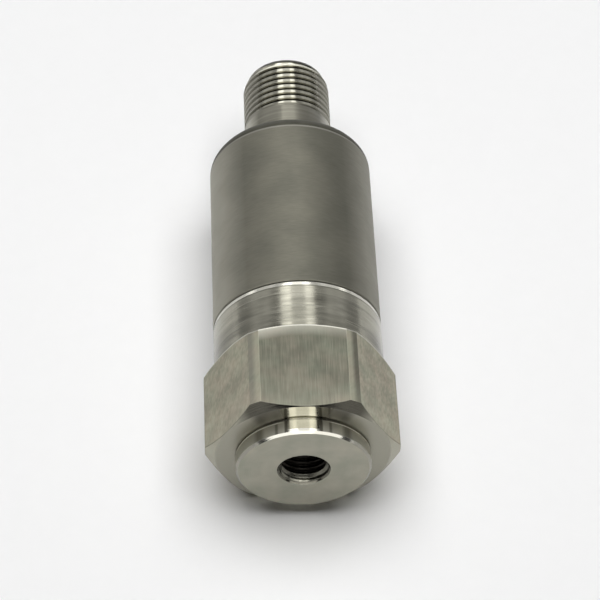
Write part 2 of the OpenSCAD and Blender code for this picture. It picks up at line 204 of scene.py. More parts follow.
def soft_box(name, place, width, height, glow, aim, for_paper=False):
    """An area lamp that faces a direction. glow is how bright its face looks, 1 for white."""
    lamp = bpy.data.lights.new(name, "AREA")
    lamp.shape = "RECTANGLE"
    lamp.size, lamp.size_y = width, height
    lamp.energy = glow * math.pi * width * height
    hung = bpy.data.objects.new(name, lamp)
    hung.matrix_world = Matrix.LocRotScale(place, aim.to_track_quat("-Z", "Y"), None)
    hung.visible_diffuse = for_paper
    hung.visible_glossy = not for_paper
    bpy.context.collection.objects.link(hung)


def overhead(name, edges, reach, glow):
    """A box over the table, between two angles from the zenith and two places along the axis."""
    left, right = (box_height * math.tan(math.radians(a)) for a in edges)
    middle = Vector(((left + right) / 2, sum(reach) / 2, box_height))
    soft_box(name, middle, right - left, reach[1] - reach[0], glow, down)
    print(name, "from", round(left / mm), "to", round(right / mm), "mm beside the axis")


for first, last, glow in box_edges:
    overhead("strip", (first, last), box_reach, glow)
for first, last, glow in front_edges:
    overhead("front_strip", (first, last), front_reach, glow)
soft_box("front_window", window_place, window_w, window_h, window_glow, -window_place)
soft_box("back_window", back_place, back_w, back_h, back_glow, -back_place)
soft_box("paper_lamp", paper_place, paper_w, paper_l, paper_glow, -paper_place, for_paper=True)

# %% [markdown]
# ## The room
# The dimmer bands on both sides of the ring's stripe are the walls of a room. Walls could be built and
# lit, but a world with two ramps is lighter: one by the angle from the zenith, and one by how far a
# direction points along the sensor. The room shows in the metal and leaves the paper alone.

# %% Paint the room
# Angles in degrees from the zenith, or the direction's share along the axis, each with its glow.
room_glow = [(0, 1.36), (9, 1.36), (24, 0.42), (33, 0.44), (43, 0.75), (51, 0.62), (61, 0.7),
             (74, 0.42), (90, 0.44)]
end_glow = [(-1, 0.05), (-0.86, 0.06), (-0.6, 0.2), (-0.4, 1), (0.84, 1), (0.95, 0.4), (1, 0.3)]
room_strength = 2.0

world = bpy.data.worlds.new("studio")
bpy.context.scene.world = world
world.use_nodes = True
world.cycles_visibility.diffuse = False
tree = world.node_tree


def ramp_of(tree, value, stops):
    """A smooth ramp of grey through stops, each a place from 0 to 1 and a brightness."""
    ramp = put(tree, "ShaderNodeValToRGB", {"Fac": value})
    ramp.color_ramp.interpolation = "EASE"
    marks = ramp.color_ramp.elements
    for i, (place, grey) in enumerate(stops):
        mark = marks[i] if i < 2 else marks.new(place)
        mark.position, mark.color = place, (grey, grey, grey, 1)
    return ramp.outputs["Color"]


way = put(tree, "ShaderNodeSeparateXYZ",
          {"Vector": put(tree, "ShaderNodeTexCoord").outputs["Generated"]}).outputs
sideways = put(tree, "ShaderNodeMath", {0: way["X"]}, operation="ABSOLUTE")
angle = put(tree, "ShaderNodeMath", {0: sideways.outputs[0], 1: way["Z"]}, operation="ARCTAN2")
quarter = put(tree, "ShaderNodeMath", {0: angle.outputs[0], 1: math.pi / 2}, operation="DIVIDE")
endways = put(tree, "ShaderNodeMath", {0: way["Y"], 1: 0.5, 2: 0.5}, operation="MULTIPLY_ADD")
glow = put(tree, "ShaderNodeMix", {
    "Factor": 1.0,
    6: ramp_of(tree, quarter.outputs[0], [(d / 90, g / room_strength) for d, g in room_glow]),
    7: ramp_of(tree, endways.outputs[0], [((y + 1) / 2, g) for y, g in end_glow])},
    data_type="RGBA", blend_type="MULTIPLY")
tree.links.new(glow.outputs[2], tree.nodes["Background"].inputs["Color"])
tree.nodes["Background"].inputs["Strength"].default_value = room_strength
bpy.context.scene.view_settings.view_transform = "Standard"
print("room glow at", [d for d, _ in room_glow], "degrees from the zenith")

# %% [markdown]
# ## Places and masks
# Most finishes here change with the place on a piece: along the axis, away from it, or to one side. A
# piece could be painted by hand, but a mask that is worked out from the place needs no picture and
# stays sharp at any size. A mask is a value that is 1 where something shows and 0 elsewhere.

# %% Helpers for places and masks


def where(tree):
    """A point's place along the sensor's axis, its distance from the axis, and its X."""
    place = put(tree, "ShaderNodeTexCoord").outputs["Object"]
    at = put(tree, "ShaderNodeSeparateXYZ", {"Vector": place}).outputs
    across = put(tree, "ShaderNodeCombineXYZ", {"X": at["X"], "Z": at["Z"]})
    radius = put(tree, "ShaderNodeVectorMath", {0: across.outputs[0]}, operation="LENGTH")
    return at["Y"], radius.outputs["Value"], at["X"]


def normal_of(tree):
    """The X, Y and Z of the way that the surface faces."""
    normal = put(tree, "ShaderNodeTexCoord").outputs["Normal"]
    return put(tree, "ShaderNodeSeparateXYZ", {"Vector": normal}).outputs


def fade(tree, value, start, end, low=0.0, high=1.0):
    """low where a value is at start, running to high where it is at end, and no further."""
    return put(tree, "ShaderNodeMapRange", {"Value": value, "From Min": start, "From Max": end,
                                            "To Min": low, "To Max": high}).outputs["Result"]


def between(tree, value, start, end):
    """1 where a value lies between two others, and 0 elsewhere."""
    middle, half = (start + end) / 2, (end - start) / 2
    return put(tree, "ShaderNodeMath", {0: value, 1: middle, 2: half},
               operation="COMPARE").outputs[0]


def beside(tree, start, end, lean=0.0):
    """0 over and under the axis, rising to 1 at the two sides. start and end are X over the radius,
    and lean moves the middle to the left by such a share."""
    _, radius, x = where(tree)
    share = put(tree, "ShaderNodeMath", {0: x, 1: radius}, operation="DIVIDE").outputs[0]
    share = put(tree, "ShaderNodeMath", {0: share, 1: lean}).outputs[0]
    share = put(tree, "ShaderNodeMath", {0: share}, operation="ABSOLUTE").outputs[0]
    return fade(tree, share, start, end)


def both(tree, first, *others):
    """1 where every mask is 1."""
    for mask in others:
        first = put(tree, "ShaderNodeMath", {0: first, 1: mask}, operation="MULTIPLY").outputs[0]
    return first


# %% [markdown]
# ## Turned steel
# The base, the sleeve and the plug are turned from stainless steel. A lathe tool leaves fine hoops
# on a wall and rings on a face, so noise that depends on the distance along the axis and on the
# radius draws both at once. The real lines are a few hundredths of a millimetre apart, too fine to
# show, so they are drawn coarser. A Bevel node breaks the sharp edges, as a file would.

# %% Helpers for finishes


def lathe_lines(tree, shoulder_highlight_w, drift):
    """Noise along the path of a lathe tool, which changes slowly round the axis."""
    along, radius, x = where(tree)
    path = put(tree, "ShaderNodeCombineXYZ", {"X": along, "Y": radius, "Z": x})
    fine = put(tree, "ShaderNodeVectorMath",
               {0: path.outputs[0], 1: (1 / shoulder_highlight_w, 1 / shoulder_highlight_w, 1 / drift)}, operation="MULTIPLY")
    return put(tree, "ShaderNodeTexNoise",
               {"Vector": fine.outputs[0], "Scale": 1.0, "Detail": 3.0}).outputs["Fac"]


def grain(tree, widths, turn=0):
    """Noise in streaks. widths are their sizes along X, Y and Z, turned about Z by some degrees."""
    place = put(tree, "ShaderNodeTexCoord").outputs["Object"]
    turned = put(tree, "ShaderNodeVectorRotate", {"Vector": place, "Angle": math.radians(turn)},
                 rotation_type="Z_AXIS")
    fine = put(tree, "ShaderNodeVectorMath",
               {0: turned.outputs[0], 1: [1 / w for w in widths]}, operation="MULTIPLY")
    return put(tree, "ShaderNodeTexNoise",
               {"Vector": fine.outputs[0], "Scale": 1.0, "Detail": 2.0}).outputs["Fac"]


noise_span = 0.3, 0.7


def spread(tree, noise, low, high):
    """Stretches a noise, most of which lies within its span, to run from low to high."""
    return fade(tree, noise, *noise_span, low, high)


def either(tree, factor, no, yes, kind="FLOAT", blend="MIX"):
    """no where factor is 0, and yes where it is 1, or both multiplied there if blend says so."""
    first, out = (6, 2) if kind == "RGBA" else (2, 0)
    return put(tree, "ShaderNodeMix", {"Factor": factor, first: no, first + 1: yes},
               data_type=kind, blend_type=blend).outputs[out]


def painted(tree, mask, tone, colour):
    """A tone, with a hex colour over it where the mask is 1."""
    return either(tree, mask, tone, linear(colour), "RGBA")


def stained(tree, clean, dull, patch_w):
    """Two close colours of one material, in soft patches."""
    patches = spread(tree, grain(tree, (patch_w, patch_w, patch_w)), 0, 1)
    return either(tree, patches, linear(clean), linear(dull), "RGBA")


def relief(tree, shader, height, depth, edge=0):
    """Bump from a height of 0 to 1, over edges that are rounded to the given radius."""
    bump = put(tree, "ShaderNodeBump", {"Height": height, "Distance": depth})
    if edge:
        rounded = put(tree, "ShaderNodeBevel", {"Radius": edge}, samples=6)
        tree.links.new(rounded.outputs["Normal"], bump.inputs["Normal"])
    tree.links.new(bump.outputs["Normal"], shader.inputs["Normal"])
    return bump


def dress(material, *names):
    """Gives a finish to pieces of the frame."""
    for name in names:
        nodes[name].material_slots[0].material = material
    print(material.name, "on", ", ".join(names))


# %% [markdown]
# ## The base
# The base is one piece of bar steel. The mounting face, its wall, the chamfers and the ring are
# turned, and the hexagon's flats are milled and a little worn. The solid's shape is right, so it
# stays. Each cut could have a material of its own, but a material goes on a whole face, and the cuts
# meet within faces. So one material tells them apart: by the place along the axis, and on a flat by
# the normal, which points straight out.

# %% Turn the base
face_to, edge_to, wall_to, step_to, chamfer_to = (d * mm for d in (0.02, 0.31, 2.1, 2.3, 3.4))
ring_from, seam = 14.5 * mm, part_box("sleeve")[0].y
line_from, crescent_from, crescent_to = (seam - d * mm for d in (0.9, 0.76, 0.29))
hoop_w, hoop_drift = 0.16 * mm, 9 * mm
blank_stain_w, cut_stain_w = 7 * mm, 3 * mm
# Each cut's start and end along the axis, its clean and dull colour, and its lowest and highest
# roughness.
base_cuts = (
    (-face_to, face_to, "#a09c8f", "#8f9083", 0.3, 0.4),
    (face_to, edge_to, "#b9b7ad", "#afada2", 0.08, 0.14),
    (edge_to, wall_to, "#cfcdc3", "#c5c3b8", 0.06, 0.1),
    (wall_to, step_to, "#a4a296", "#99978a", 0.06, 0.1),
    (step_to, chamfer_to, "#a4a294", "#9a988a", 0.1, 0.16),
    (line_from, crescent_from, "#77756a", "#6c6b60", 0.2, 0.3),
    (crescent_from, crescent_to, "#e2e0d5", "#d8d6ca", 0.12, 0.2))

# Turned steel mirrors the lamps as long clear streaks, which the tool's hoops break up a little.
base_steel, tree, shader = finish("stainless_steel_turned_and_milled", Metallic=1)
along, radius, x = where(tree)
hoops = lathe_lines(tree, hoop_w, hoop_drift)
turned_tone = stained(tree, "#a3a195", "#989689", blank_stain_w)
turned_gloss = spread(tree, hoops, 0.1, 0.28)
for start, end, clean, dull, low, high in base_cuts:
    here = between(tree, along, start, end)
    turned_tone = either(tree, here, turned_tone, stained(tree, clean, dull, cut_stain_w), "RGBA")
    turned_gloss = either(tree, here, turned_gloss, spread(tree, hoops, low, high))
print(len(base_cuts), "turned cuts, and the seam at", round(seam / mm, 2), "mm")

# %% [markdown]
# ## The wall of the raised face
# The wall and the hexagon's front behind it show one clear stripe at the top, and at both sides
# they are duller and hold painted shade. Narrow dark stripes lie beside the clear one, where such a
# wall mirrors the gaps between lamps: they are painted reflections. A dark card hung for each would
# draw them too, but a tone by the place on the wall is steadier. A painted highlight runs along the
# relief, and the sides of the edges get painted shade in the same way.

# %% Shade the wall
wall_lean = 0.03
wall_gloss = 0.34
relief_from, highlight_w = 1.95 * mm, 0.16 * mm
on_wall = between(tree, along, edge_to, wall_to)
on_front = between(tree, along, wall_to, step_to)
# Each dull side's zone, the shares of the radius over which it sets in, its lean and its colour,
# which is painted shade.
dull_shaded_wall_sides = (on_wall, 0.215, 0.25, wall_lean, "#aeaca0"), (on_front, 0.26, 0.32, 0, "#979589")
# Each painted reflection's zone, the shares of the radius where it starts and ends, its blur and its
# colour.
painted_gap_reflections = (
    (on_wall, 0.24, 0.265, 0.02, "#5f5d54"),
    (on_wall, 0.38, 0.4, 0.02, "#7f7d73"),
    (on_wall, 0.61, 0.66, 0.06, "#87857a"),
    (on_front, 0.26, 0.52, 0.1, "#716f66"))
# The painted highlight along the relief and the painted shade on the sides of the face's edge and
# of the seam: start and end along the axis, shares as above, and colour.
edge_light_and_shade = (
    (relief_from - highlight_w, relief_from, 0.3, 0.4, "#f0eee4"),
    (face_to, edge_to, 0.66, 0.74, "#939187"),
    (crescent_from, crescent_to, 0.25, 0.6, "#bcbab0"))

# The sides' colours are painted shade, the stripes painted reflections, and the edges painted highlight
# and shade.
for zone, low, high, lean, colour in dull_shaded_wall_sides:
    side = both(tree, zone, beside(tree, low, high, lean))
    turned_gloss = either(tree, side, turned_gloss, wall_gloss)
    turned_tone = painted(tree, side, turned_tone, colour)
for zone, start, end, blur, colour in painted_gap_reflections:
    stripe = put(tree, "ShaderNodeMath", {0: beside(tree, start - blur, start, wall_lean),
                                          1: beside(tree, end, end + blur, wall_lean)},
                 operation="SUBTRACT").outputs[0]
    turned_tone = painted(tree, both(tree, stripe, zone), turned_tone, colour)
for start, end, low, high, colour in edge_light_and_shade:
    side = both(tree, between(tree, along, start, end), beside(tree, low, high))
    turned_tone = painted(tree, side, turned_tone, colour)
print(len(painted_gap_reflections), "dark stripes on each side of the raised face")

# %% [markdown]
# ## The ring, the hole and the chamfer
# The ring is polished, and its sides hold painted shade where it runs into the hexagon. The tool
# left shallow ripples there, which show in the bright stripe. A bump would draw them only where they
# mirror a lamp's edge, so they are a tone, drawn a little stronger than they are deep. The hole holds
# painted shade, and the part of the chamfer that looks up holds a painted reflection of the dark end
# of the room.

# %% Darken the ring, the hole and the chamfer
side_shade_from, side_shade_to = ring_from + 3.5 * mm, ring_from + 0.7 * mm
ripple_w, ripple_drift, ripples_to = 0.7 * mm, 4 * mm, seam - 2 * mm
hole_shade_r = 4 * mm

# Painted shade darkens the ring's sides next to the hexagon.
shaded_ring_sides = both(tree, fade(tree, along, side_shade_from, side_shade_to), between(tree, along, ring_from, seam),
                  beside(tree, 0.72, 0.88))
turned_tone = painted(tree, shaded_ring_sides, turned_tone, "#7c7a70")
ripples = spread(tree, lathe_lines(tree, ripple_w, ripple_drift), 0, 1)
ripples = both(tree, ripples, between(tree, along, ring_from, ripples_to))
turned_tone = either(tree, ripples, turned_tone, linear("#cfcfcf"), "RGBA", "MULTIPLY")
# Painted shade darkens the hole in the base.
in_hole = both(tree, between(tree, radius, 0, hole_shade_r), between(tree, along, face_to, seam))
turned_tone = painted(tree, in_hole, turned_tone, "#5f5d54")
facing = normal_of(tree)
# A painted reflection of the dark end of the room darkens the part of the chamfer that looks up.
upward = both(tree, fade(tree, facing["Z"], 0.32, 0.4), between(tree, facing["Y"], -0.95, -0.8))
turned_tone = painted(tree, upward, turned_tone, "#57554d")
print("ripples on", round((ripples_to - ring_from) / mm, 2), "mm of the ring")

# %% [markdown]
# ## The milled flats
# A mill leaves fine streaks, along the sensor on the top flat and aslant on the side flats. Wear dulls
# them in blotches, and a faint tint goes from warm to green. Milled steel scatters the light, so a
# flat shows one even grey where the turned cuts show stripes, and the side flats are painted lighter
# than the top one. Noise that is stretched along the streaks draws them, and the same noise sets the
# colour, the gloss and the relief.

# %% Mill the flats
side_streak, side_turn = (0.4 * mm, 5 * mm, 0.4 * mm), 40
top_streak = 0.13 * mm, 3 * mm, 0.13 * mm
blotch_w, streak_share = 2.4 * mm, 0.55
heat_patch, heat_turn = (3.5 * mm, 2.5 * mm, 3.5 * mm), 20

on_flat = both(tree, between(tree, along, step_to, ring_from), between(tree, facing["Y"], -0.2, 0.2))
on_top = between(tree, facing["X"], -0.3, 0.3)
marks = either(tree, on_top, grain(tree, side_streak, side_turn), grain(tree, top_streak))
wear = put(tree, "ShaderNodeMath", {0: marks, 1: streak_share, 2: grain(tree, [blotch_w] * 3)},
           operation="MULTIPLY_ADD").outputs[0]
wear = fade(tree, wear, 0.57, 0.98)
heat = spread(tree, grain(tree, heat_patch, heat_turn), 0, 1)
# The side flats are painted lighter than the top one, and each has two colours of wear.
side_wear_and_light = either(tree, wear, linear("#ada89a"), linear("#959387"), "RGBA")
top_wear_and_shade = either(tree, wear, linear("#87867b"), linear("#75756b"), "RGBA")
print("streaks", round(top_streak[0] / mm, 2), "mm wide on top and", round(side_streak[0] / mm, 2),
      "mm beside it")

# %% [markdown]
# ## The hexagon's edges
# Both ends of the hexagon are cut back by a cone of 30 degrees, so each flat ends in a curved edge.
# A cone is a straight line of the radius and the place along the axis, and a material can follow
# that edge by adding the two. The front edge has a dark arris, and the back edge a painted highlight
# with a lighter ragged band before it. The narrow corner bands are turned, and their colour holds
# painted light: lighter where they face up, and darker on the right than on the left.

# %% Break the hexagon's edges
cone_slope = math.tan(math.radians(30))
boss_h, face_r, arris_w = 2.2 * mm, 10.9 * mm, 0.13 * mm
ring_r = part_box("sleeve")[1].x
# A corner band lies past corner_r, and darkens between two distances from the middle plane.
corner_r, corner_inner, corner_outer = (d * mm for d in (12.28, 5.9, 6.4))
lighter_front_from, lighter_front_to, lighter_front_share = 7 * mm, 3 * mm, 0.28
# The lip fades in over a ragged strip along the cone, and is fainter to the right.
lip_w, lip_half, lip_right = 1.7 * mm, 5 * mm, 0.5
lip_from, lip_to, lip_ragged = (share * lip_w for share in (-0.75, 0.35, 0.5))

cone, front_cone = (put(tree, "ShaderNodeMath", {0: radius, 1: slope, 2: along},
                        operation="MULTIPLY_ADD").outputs[0] for slope in (cone_slope, -cone_slope))
cone_at = ring_from + ring_r * cone_slope
front_at = boss_h - face_r * cone_slope
side_wear_and_light = painted(tree, between(tree, front_cone, front_at, front_at + arris_w), side_wear_and_light, "#66645b")
mill_tone = either(tree, on_top, side_wear_and_light, top_wear_and_shade, "RGBA")

on_corner, on_right = (put(tree, "ShaderNodeMath", {0: value, 1: limit},
                           operation="GREATER_THAN").outputs[0]
                       for value, limit in ((radius, corner_r), (x, 0.0)))
from_middle = put(tree, "ShaderNodeMath", {0: x}, operation="ABSOLUTE").outputs[0]
# Painted light: the corner bands are lighter where they face up, and darker on the right than on the
# left.
corner_light_and_shade = either(tree, on_right, linear("#918f86"), linear("#75736a"), "RGBA")
corner_light_and_shade = either(tree, fade(tree, from_middle, corner_inner, corner_outer), linear("#a9a79a"),
                     corner_light_and_shade, "RGBA")
mill_tone = either(tree, on_corner, mill_tone, corner_light_and_shade, "RGBA")
# The flats grow a little lighter towards their front end.
lighter_front = fade(tree, along, lighter_front_from, lighter_front_to, 0.0, lighter_front_share)
mill_tone = painted(tree, lighter_front, mill_tone, "#b9b6a9")
heat_tint = either(tree, heat, linear("#fffaf5"), linear("#f6fbf4"), "RGBA")
mill_tone = either(tree, 1.0, mill_tone, heat_tint, "RGBA", "MULTIPLY")

# The lip is a lighter ragged band before the back edge, fainter to the right.
rubbed = put(tree, "ShaderNodeMath", {0: marks, 1: lip_ragged, 2: cone},
             operation="MULTIPLY_ADD").outputs[0]
on_lip = both(tree, fade(tree, rubbed, cone_at + lip_from, cone_at + lip_to),
              fade(tree, x, -lip_half, lip_half, 1.0, lip_right), on_top)
mill_tone = painted(tree, on_lip, mill_tone, "#c2c0b4")
# A painted highlight runs along the back edge, which is also less rough there.
on_highlight = between(tree, cone, cone_at - highlight_w, cone_at)
highlight_tone = either(tree, on_top, linear("#b3b1a6"), linear("#c8c6bb"), "RGBA")
mill_tone = either(tree, on_highlight, mill_tone, highlight_tone, "RGBA")
mill_gloss = either(tree, on_highlight, spread(tree, marks, 0.58, 0.72), 0.4)
print("the cone meets the ring at", round(ring_r / mm, 2), "mm from the axis")

# %% [markdown]
# ## Turned and milled together
# The two finishes meet in one shader. The last half millimetre of the ring slopes down to the seam,
# so it shows the room behind the sensor. The solid ends square there, and a bump that falls with the
# place along the axis tilts the light as the slope would.

# %% Dress the base
tool_depth, file_edge = 0.006 * mm, 0.06 * mm
crescent_drop = 0.08 * mm

tree.links.new(either(tree, on_flat, turned_tone, mill_tone, "RGBA"), shader.inputs["Base Color"])
tree.links.new(either(tree, on_flat, turned_gloss, mill_gloss), shader.inputs["Roughness"])
lines = relief(tree, shader, either(tree, on_flat, hoops, marks), tool_depth, edge=file_edge)
taper = put(tree, "ShaderNodeBump", {
    "Height": fade(tree, along, crescent_from, crescent_to, 1.0, 0.0), "Distance": crescent_drop,
    "Normal": lines.inputs["Normal"].links[0].from_socket})
tree.links.new(taper.outputs["Normal"], lines.inputs["Normal"])
dress(base_steel, "base")

# %% [markdown]
# ## The sleeve
# The sleeve is a turned steel cup, welded to the base at the seam, and rubbed round with a fine
# abrasive. That leaves a satin surface, darker than the turned steel. Round the shoulder its colour
# holds painted shade, with a painted highlight line where the shoulder starts. Both sides are painted
# brighter than the top, and the right half a little darker than the left. More lamps could do that
# too, but they would change the other metal as well, so the finish holds it, and the normal's X
# tells the sides apart.

# %% Finish the sleeve
shoulder_r, shoulder_highlight_w = 2.0 * mm, 0.25 * mm
wall_stain_w, shoulder_shade_patch_w = 5 * mm, 2 * mm
satin_w, satin_drift, satin_depth = 0.13 * mm, 1.2 * mm, 0.004 * mm

# Satin steel blurs the lamps to broad soft bands, with no clear image in them.
sleeve_steel, tree, shader = finish("stainless_steel_satin_rubbed", Metallic=1)
along, _, _ = where(tree)
facing = normal_of(tree)
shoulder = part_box("sleeve")[1].y - shoulder_r
sideways = put(tree, "ShaderNodeMath", {0: facing["X"]}, operation="ABSOLUTE").outputs[0]
# The sides are painted lighter than the top, each in stained patches.
tone = either(tree, fade(tree, sideways, 0.6, 0.85), stained(tree, "#7b796e", "#6f6e64", wall_stain_w),
              stained(tree, "#9b998e", "#908e83", wall_stain_w), "RGBA")
# Painted shade darkens the right half.
tone = either(tree, fade(tree, facing["X"], 0.05, 0.45), tone, linear("#e8e8e8"), "RGBA", "MULTIPLY")
# A painted highlight line runs where the shoulder starts.
tone = painted(tree, between(tree, along, shoulder - shoulder_highlight_w, shoulder + shoulder_highlight_w / 4), tone, "#8c8a82")
# Painted shade darkens the shoulder, in patches.
tone = either(tree, between(tree, facing["Y"], 0.03, 0.97), tone,
              stained(tree, "#55544b", "#4b4a42", shoulder_shade_patch_w), "RGBA")
tree.links.new(tone, shader.inputs["Base Color"])
satin = lathe_lines(tree, satin_w, satin_drift)
tree.links.new(spread(tree, satin, 0.52, 0.66), shader.inputs["Roughness"])
relief(tree, shader, satin, satin_depth, edge=file_edge)
dress(sleeve_steel, "sleeve")

# %% [markdown]
# ## The plug's thread
# The cable's union nut screws onto the plug. A thread could be a bump texture, but its turns show in
# the outline, so it is a true helix: the outline of one turn is spun round the axis while it moves
# along it. Each turn then meets the next one, and merging the doubles closes the surface.

# %% Spin a screw thread
turn_steps = 120
weld, fine_weld, rim_reach = 0.001 * mm, 0.0005 * mm, 0.01 * mm


def screw_thread(pitch, shares, groove_r, crest_r, start, end):
    """A right-hand thread along +Y as an open tube, which reaches a turn past both ends. Its groove
    starts at the top, and its shares of a turn are the crest, the groove's floor and a flank."""
    crest_flat, groove_flat, flank = (share * pitch for share in shares)
    outline = [(0, groove_r), (groove_flat, groove_r), (groove_flat + flank, crest_r),
               (groove_flat + flank + crest_flat, crest_r), (pitch, groove_r)]
    turns = math.ceil((end - start) / pitch) + 2
    mesh = bmesh.new()
    points = [mesh.verts.new((0, start - pitch + along, r)) for along, r in outline]
    lines = [mesh.edges.new(pair) for pair in zip(points, points[1:])]
    bmesh.ops.spin(mesh, geom=points + lines, axis=(0, 1, 0), cent=(0, 0, 0),
                   dvec=(0, pitch / turn_steps, 0), angle=math.tau * turns,
                   steps=turn_steps * turns)
    bmesh.ops.remove_doubles(mesh, verts=mesh.verts, dist=weld)
    return mesh


def hold_radius(mesh, lowest, highest):
    """Keeps each point's radius between two limits, which are functions of its place along +Y."""
    for point in mesh.verts:
        radius = math.hypot(point.co.x, point.co.z)
        held = min(max(radius, lowest(point.co.y)), highest(point.co.y))
        point.co.x *= held / radius
        point.co.z *= held / radius


def trim(mesh, start, end):
    """Cuts the tube square at both ends."""
    for y, way in ((start, -1), (end, 1)):
        bmesh.ops.bisect_plane(mesh, geom=mesh.verts[:] + mesh.edges[:] + mesh.faces[:],
                               plane_co=(0, y, 0), plane_no=(0, way, 0), clear_outer=True)
    bmesh.ops.remove_doubles(mesh, verts=mesh.verts, dist=weld)


def rim(mesh, y):
    """The open edges at a place along the axis."""
    return [e for e in mesh.edges if e.is_boundary and abs(e.verts[0].co.y - y) < rim_reach]


def draw_on(mesh, edges, outline):
    """Carries a round rim on through the points of an outline, each a radius and a place along +Y."""
    for radius, y in outline:
        grown = bmesh.ops.extrude_edge_only(mesh, edges=edges)["geom"]
        edges = [g for g in grown if isinstance(g, bmesh.types.BMEdge)]
        for point in (g for g in grown if isinstance(g, bmesh.types.BMVert)):
            scale = radius / math.hypot(point.co.x, point.co.z)
            point.co = (point.co.x * scale, y, point.co.z * scale)
    return edges


def close_up(mesh, name, material, sharp):
    """Merges, turns the faces outwards and shades the mesh smooth between its sharp edges."""
    bmesh.ops.remove_doubles(mesh, verts=mesh.verts, dist=fine_weld)
    bmesh.ops.dissolve_degenerate(mesh, edges=mesh.edges, dist=fine_weld)
    bmesh.ops.recalc_face_normals(mesh, faces=mesh.faces)
    for face in mesh.faces:
        face.smooth = True
    open_edges = sum(not e.is_manifold for e in mesh.edges)
    piece = new_piece(name, mesh, material)
    piece.data.set_sharp_from_angle(angle=math.radians(sharp))
    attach(piece, "root")
    print(name, len(piece.data.polygons), "faces,", open_edges, "open edges")
    return piece


# %% [markdown]
# ## The plug's steel
# The plug is turned from bright bar. Its plain collar keeps the tool's ridges, and its colour holds
# painted shade on the right and a painted reflection that lightens both sides. The thread's crests
# are clear, and the chamfer at the end is clearest, up to a dark rim. The grooves hold painted shade,
# and the thread's two sides are rougher and hold painted shade too. One material follows the plug's
# sizes, so they come first.

# %% Finish the plug
thread_pitch, thread_depth, thread_turns = 1.0 * mm, 0.55 * mm, 7
thread_shares = 0.42, 0.12, 0.23
thread_fade = 0.9 * mm
plug_r = 6.0 * mm
chamfer_l, chamfer_r = 1.5 * mm, 0.6 * mm
plug_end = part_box("plug_shell")[1].y
thread_end = plug_end - chamfer_l
collar_end = thread_end - thread_pitch * (thread_turns + sum(thread_shares[1:]))
dark_rim = 0.6 * mm
fine_w, fine_drift, fine_depth = 0.09 * mm, 6 * mm, 0.003 * mm
ridge_w, ridge_drift = 0.4 * mm, 30 * mm
shade_from, shade_to = 0.6 * mm, 2.6 * mm
plug_stain_w, plug_edge_r = 4 * mm, 0.05 * mm
groove_low, groove_high = plug_r - 1.1 * thread_depth, plug_r - 0.4 * thread_depth
# The thread, the chamfer and the rim: start and end, clean and dull colour, least and most roughness.
plug_cuts = (
    (collar_end + thread_fade / 2, thread_end, "#aba99d", "#a19f92", 0.08, 0.14),
    (thread_end, plug_end - dark_rim, "#c9c7b8", "#bfbdae", 0.1, 0.2),
    (plug_end - dark_rim, plug_end + dark_rim, "#3a3932", "#32312b", 0.3, 0.4))

# Bright turned steel gives each turn of the thread its own small, sharp highlight.
plug_steel, tree, shader = finish("stainless_steel_turned_bright", Metallic=1)
along, radius, x = where(tree)
fine_lines = lathe_lines(tree, fine_w, fine_drift)
ridges = spread(tree, lathe_lines(tree, ridge_w, ridge_drift), 0, 1)
tone = either(tree, ridges, linear("#727065"), linear("#8d8b80"), "RGBA")
# Painted shade darkens the collar's right side.
tone = either(tree, fade(tree, x, shade_from, shade_to), tone, linear("#d6d6d6"), "RGBA", "MULTIPLY")
# A painted reflection lightens the collar's two sides.
tone = painted(tree, beside(tree, 0.7, 0.9), tone, "#a3a196")
gloss = spread(tree, fine_lines, 0.3, 0.44)
for start, end, clean, dull, low, high in plug_cuts:
    here = between(tree, along, start, end)
    tone = either(tree, here, tone, stained(tree, clean, dull, plug_stain_w), "RGBA")
    gloss = either(tree, here, gloss, spread(tree, fine_lines, low, high))
# Painted shade fills the thread's grooves.
in_groove = both(tree, between(tree, along, collar_end, thread_end),
                 between(tree, radius, groove_low, groove_high))
tone = painted(tree, in_groove, tone, "#55534a")
# The thread's two sides are rougher, and their colour holds painted shade.
dull_shaded_thread_sides = both(tree, between(tree, along, collar_end, plug_end + dark_rim), beside(tree, 0.6, 0.76))
tone = painted(tree, dull_shaded_thread_sides, tone, "#8c8a80")
gloss = either(tree, dull_shaded_thread_sides, gloss, 0.45)
tree.links.new(tone, shader.inputs["Base Color"])
tree.links.new(gloss, shader.inputs["Roughness"])
relief(tree, shader, fine_lines, fine_depth, edge=plug_edge_r)
print("thread from", round(collar_end / mm, 2), "to", round(thread_end / mm, 2), "mm along the axis")

# %% [markdown]
# ## The plug
# The plug is one turned piece: thread, plain collar, the foot and flange that hold it in the sleeve,
# and a socket with a step for the contact carrier. The thread fades out into the collar and is cut
# back by the chamfer at the end, so its points are held between two limits. The rest of the outline
# is drawn on from both rims of the thread, and a bridge closes the socket.

# %% Turn the plug
socket_r, socket_edge = 4.4 * mm, 0.3 * mm
undercut_depth, undercut_l = 0.3 * mm, 0.5 * mm
roof_t, flange_t = 2.5 * mm, 2.0 * mm
groove_l, groove_r = 1.2 * mm, 5.06 * mm
carrier_step, carrier_collar_r = 1.4 * mm, 4.95 * mm
sharp_over = 24
sleeve_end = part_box("sleeve")[1].y
flange_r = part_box("plug_shell")[1].x
roof = sleeve_end - roof_t
flange = roof - flange_t
groove = (roof + sleeve_end - groove_l) / 2

plug_mesh = screw_thread(thread_pitch, thread_shares, plug_r - thread_depth, plug_r, collar_end,
                         plug_end)


def plug_edge(y):
    """The plug's outline over the thread's crests: a wall, then the chamfer at the end."""
    return plug_r - chamfer_r * max(0, 1 + (y - plug_end) / chamfer_l)


def thread_floor(y):
    """The grooves' floor, which rises into the collar."""
    return plug_r - thread_depth * min(1, max(0, (y - collar_end) / thread_fade))


